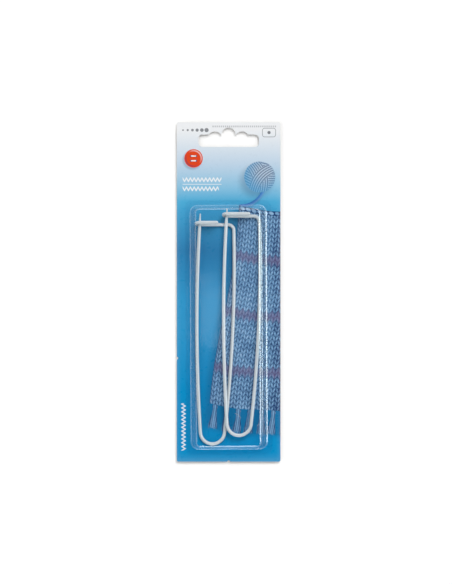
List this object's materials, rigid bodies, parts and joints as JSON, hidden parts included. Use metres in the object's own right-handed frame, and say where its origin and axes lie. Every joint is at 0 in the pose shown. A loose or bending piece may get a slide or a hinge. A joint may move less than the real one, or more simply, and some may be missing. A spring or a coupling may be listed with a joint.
{
  "type": "carded pack of stitch holders",
  "caption": "Flat hang card with a clear blister that holds two U-shaped wire stitch holders, each with a spring bend, a pointed pin leg and a hooked clasp.",
  "frame": {"origin": "centre of the card's back face, on the surface that the pack lies on", "axes": "+X across the card, +Y up the card towards its hang slot, +Z out of the card's printed face"},
  "size_m": [0.055, 0.18, 0.0081],
  "materials": {
    "printed_card": "coated, printed in pale grey to blue",
    "blister_sheet": "clear, thin, glossy",
    "holder_wire": "pearl grey, satin"
  },
  "bodies": {
    "card": {"hang_card": "printed_card"},
    "blister": {"blister": "blister_sheet"},
    "left_holder": {"left_clasp_leg": "holder_wire", "left_clasp_corner": "holder_wire", "left_back_run": "holder_wire", "left_hook": "holder_wire", "left_front_run": "holder_wire", "left_spring_bend": "holder_wire"},
    "left_pin": {"left_pin_leg": "holder_wire", "left_pin_point": "holder_wire"},
    "right_holder": {"right_clasp_leg": "holder_wire", "right_clasp_corner": "holder_wire", "right_back_run": "holder_wire", "right_hook": "holder_wire", "right_front_run": "holder_wire", "right_spring_bend": "holder_wire"},
    "right_pin": {"right_pin_leg": "holder_wire", "right_pin_point": "holder_wire"}
  },
  "joints": [
    {"name": "blister_lift", "type": "slide", "parent": "card", "child": "blister", "axis": [0, 0, 1], "range_m": [0, 0.06]},
    {"name": "right_holder_lift", "type": "slide", "parent": "card", "child": "right_holder", "axis": [0, 0, 1], "range_m": [0, 0.04]},
    {"name": "left_holder_lift", "type": "slide", "parent": "card", "child": "left_holder", "axis": [0, 0, 1], "range_m": [0, 0.02]},
    {"name": "left_pin_squeeze", "type": "hinge", "parent": "left_holder", "child": "left_pin", "pos_m": [-0.00858, -0.074, 0.0015], "axis": [0, 0, -1], "range_deg": [0, 5.45], "stiffness_Nm_per_rad": 0.4, "springref_deg": -2.86},
    {"name": "right_pin_squeeze", "type": "hinge", "parent": "right_holder", "child": "right_pin", "pos_m": [0.00547, -0.0694, 0.0035], "axis": [0, 0, -1], "range_deg": [0, 6.8], "stiffness_Nm_per_rad": 0.4, "springref_deg": -2.86}
  ],
  "couplings": [
    {"joint": "right_holder_lift", "follows": "blister_lift", "ratio": 0.66},
    {"joint": "left_holder_lift", "follows": "blister_lift", "ratio": 0.33}
  ]
}
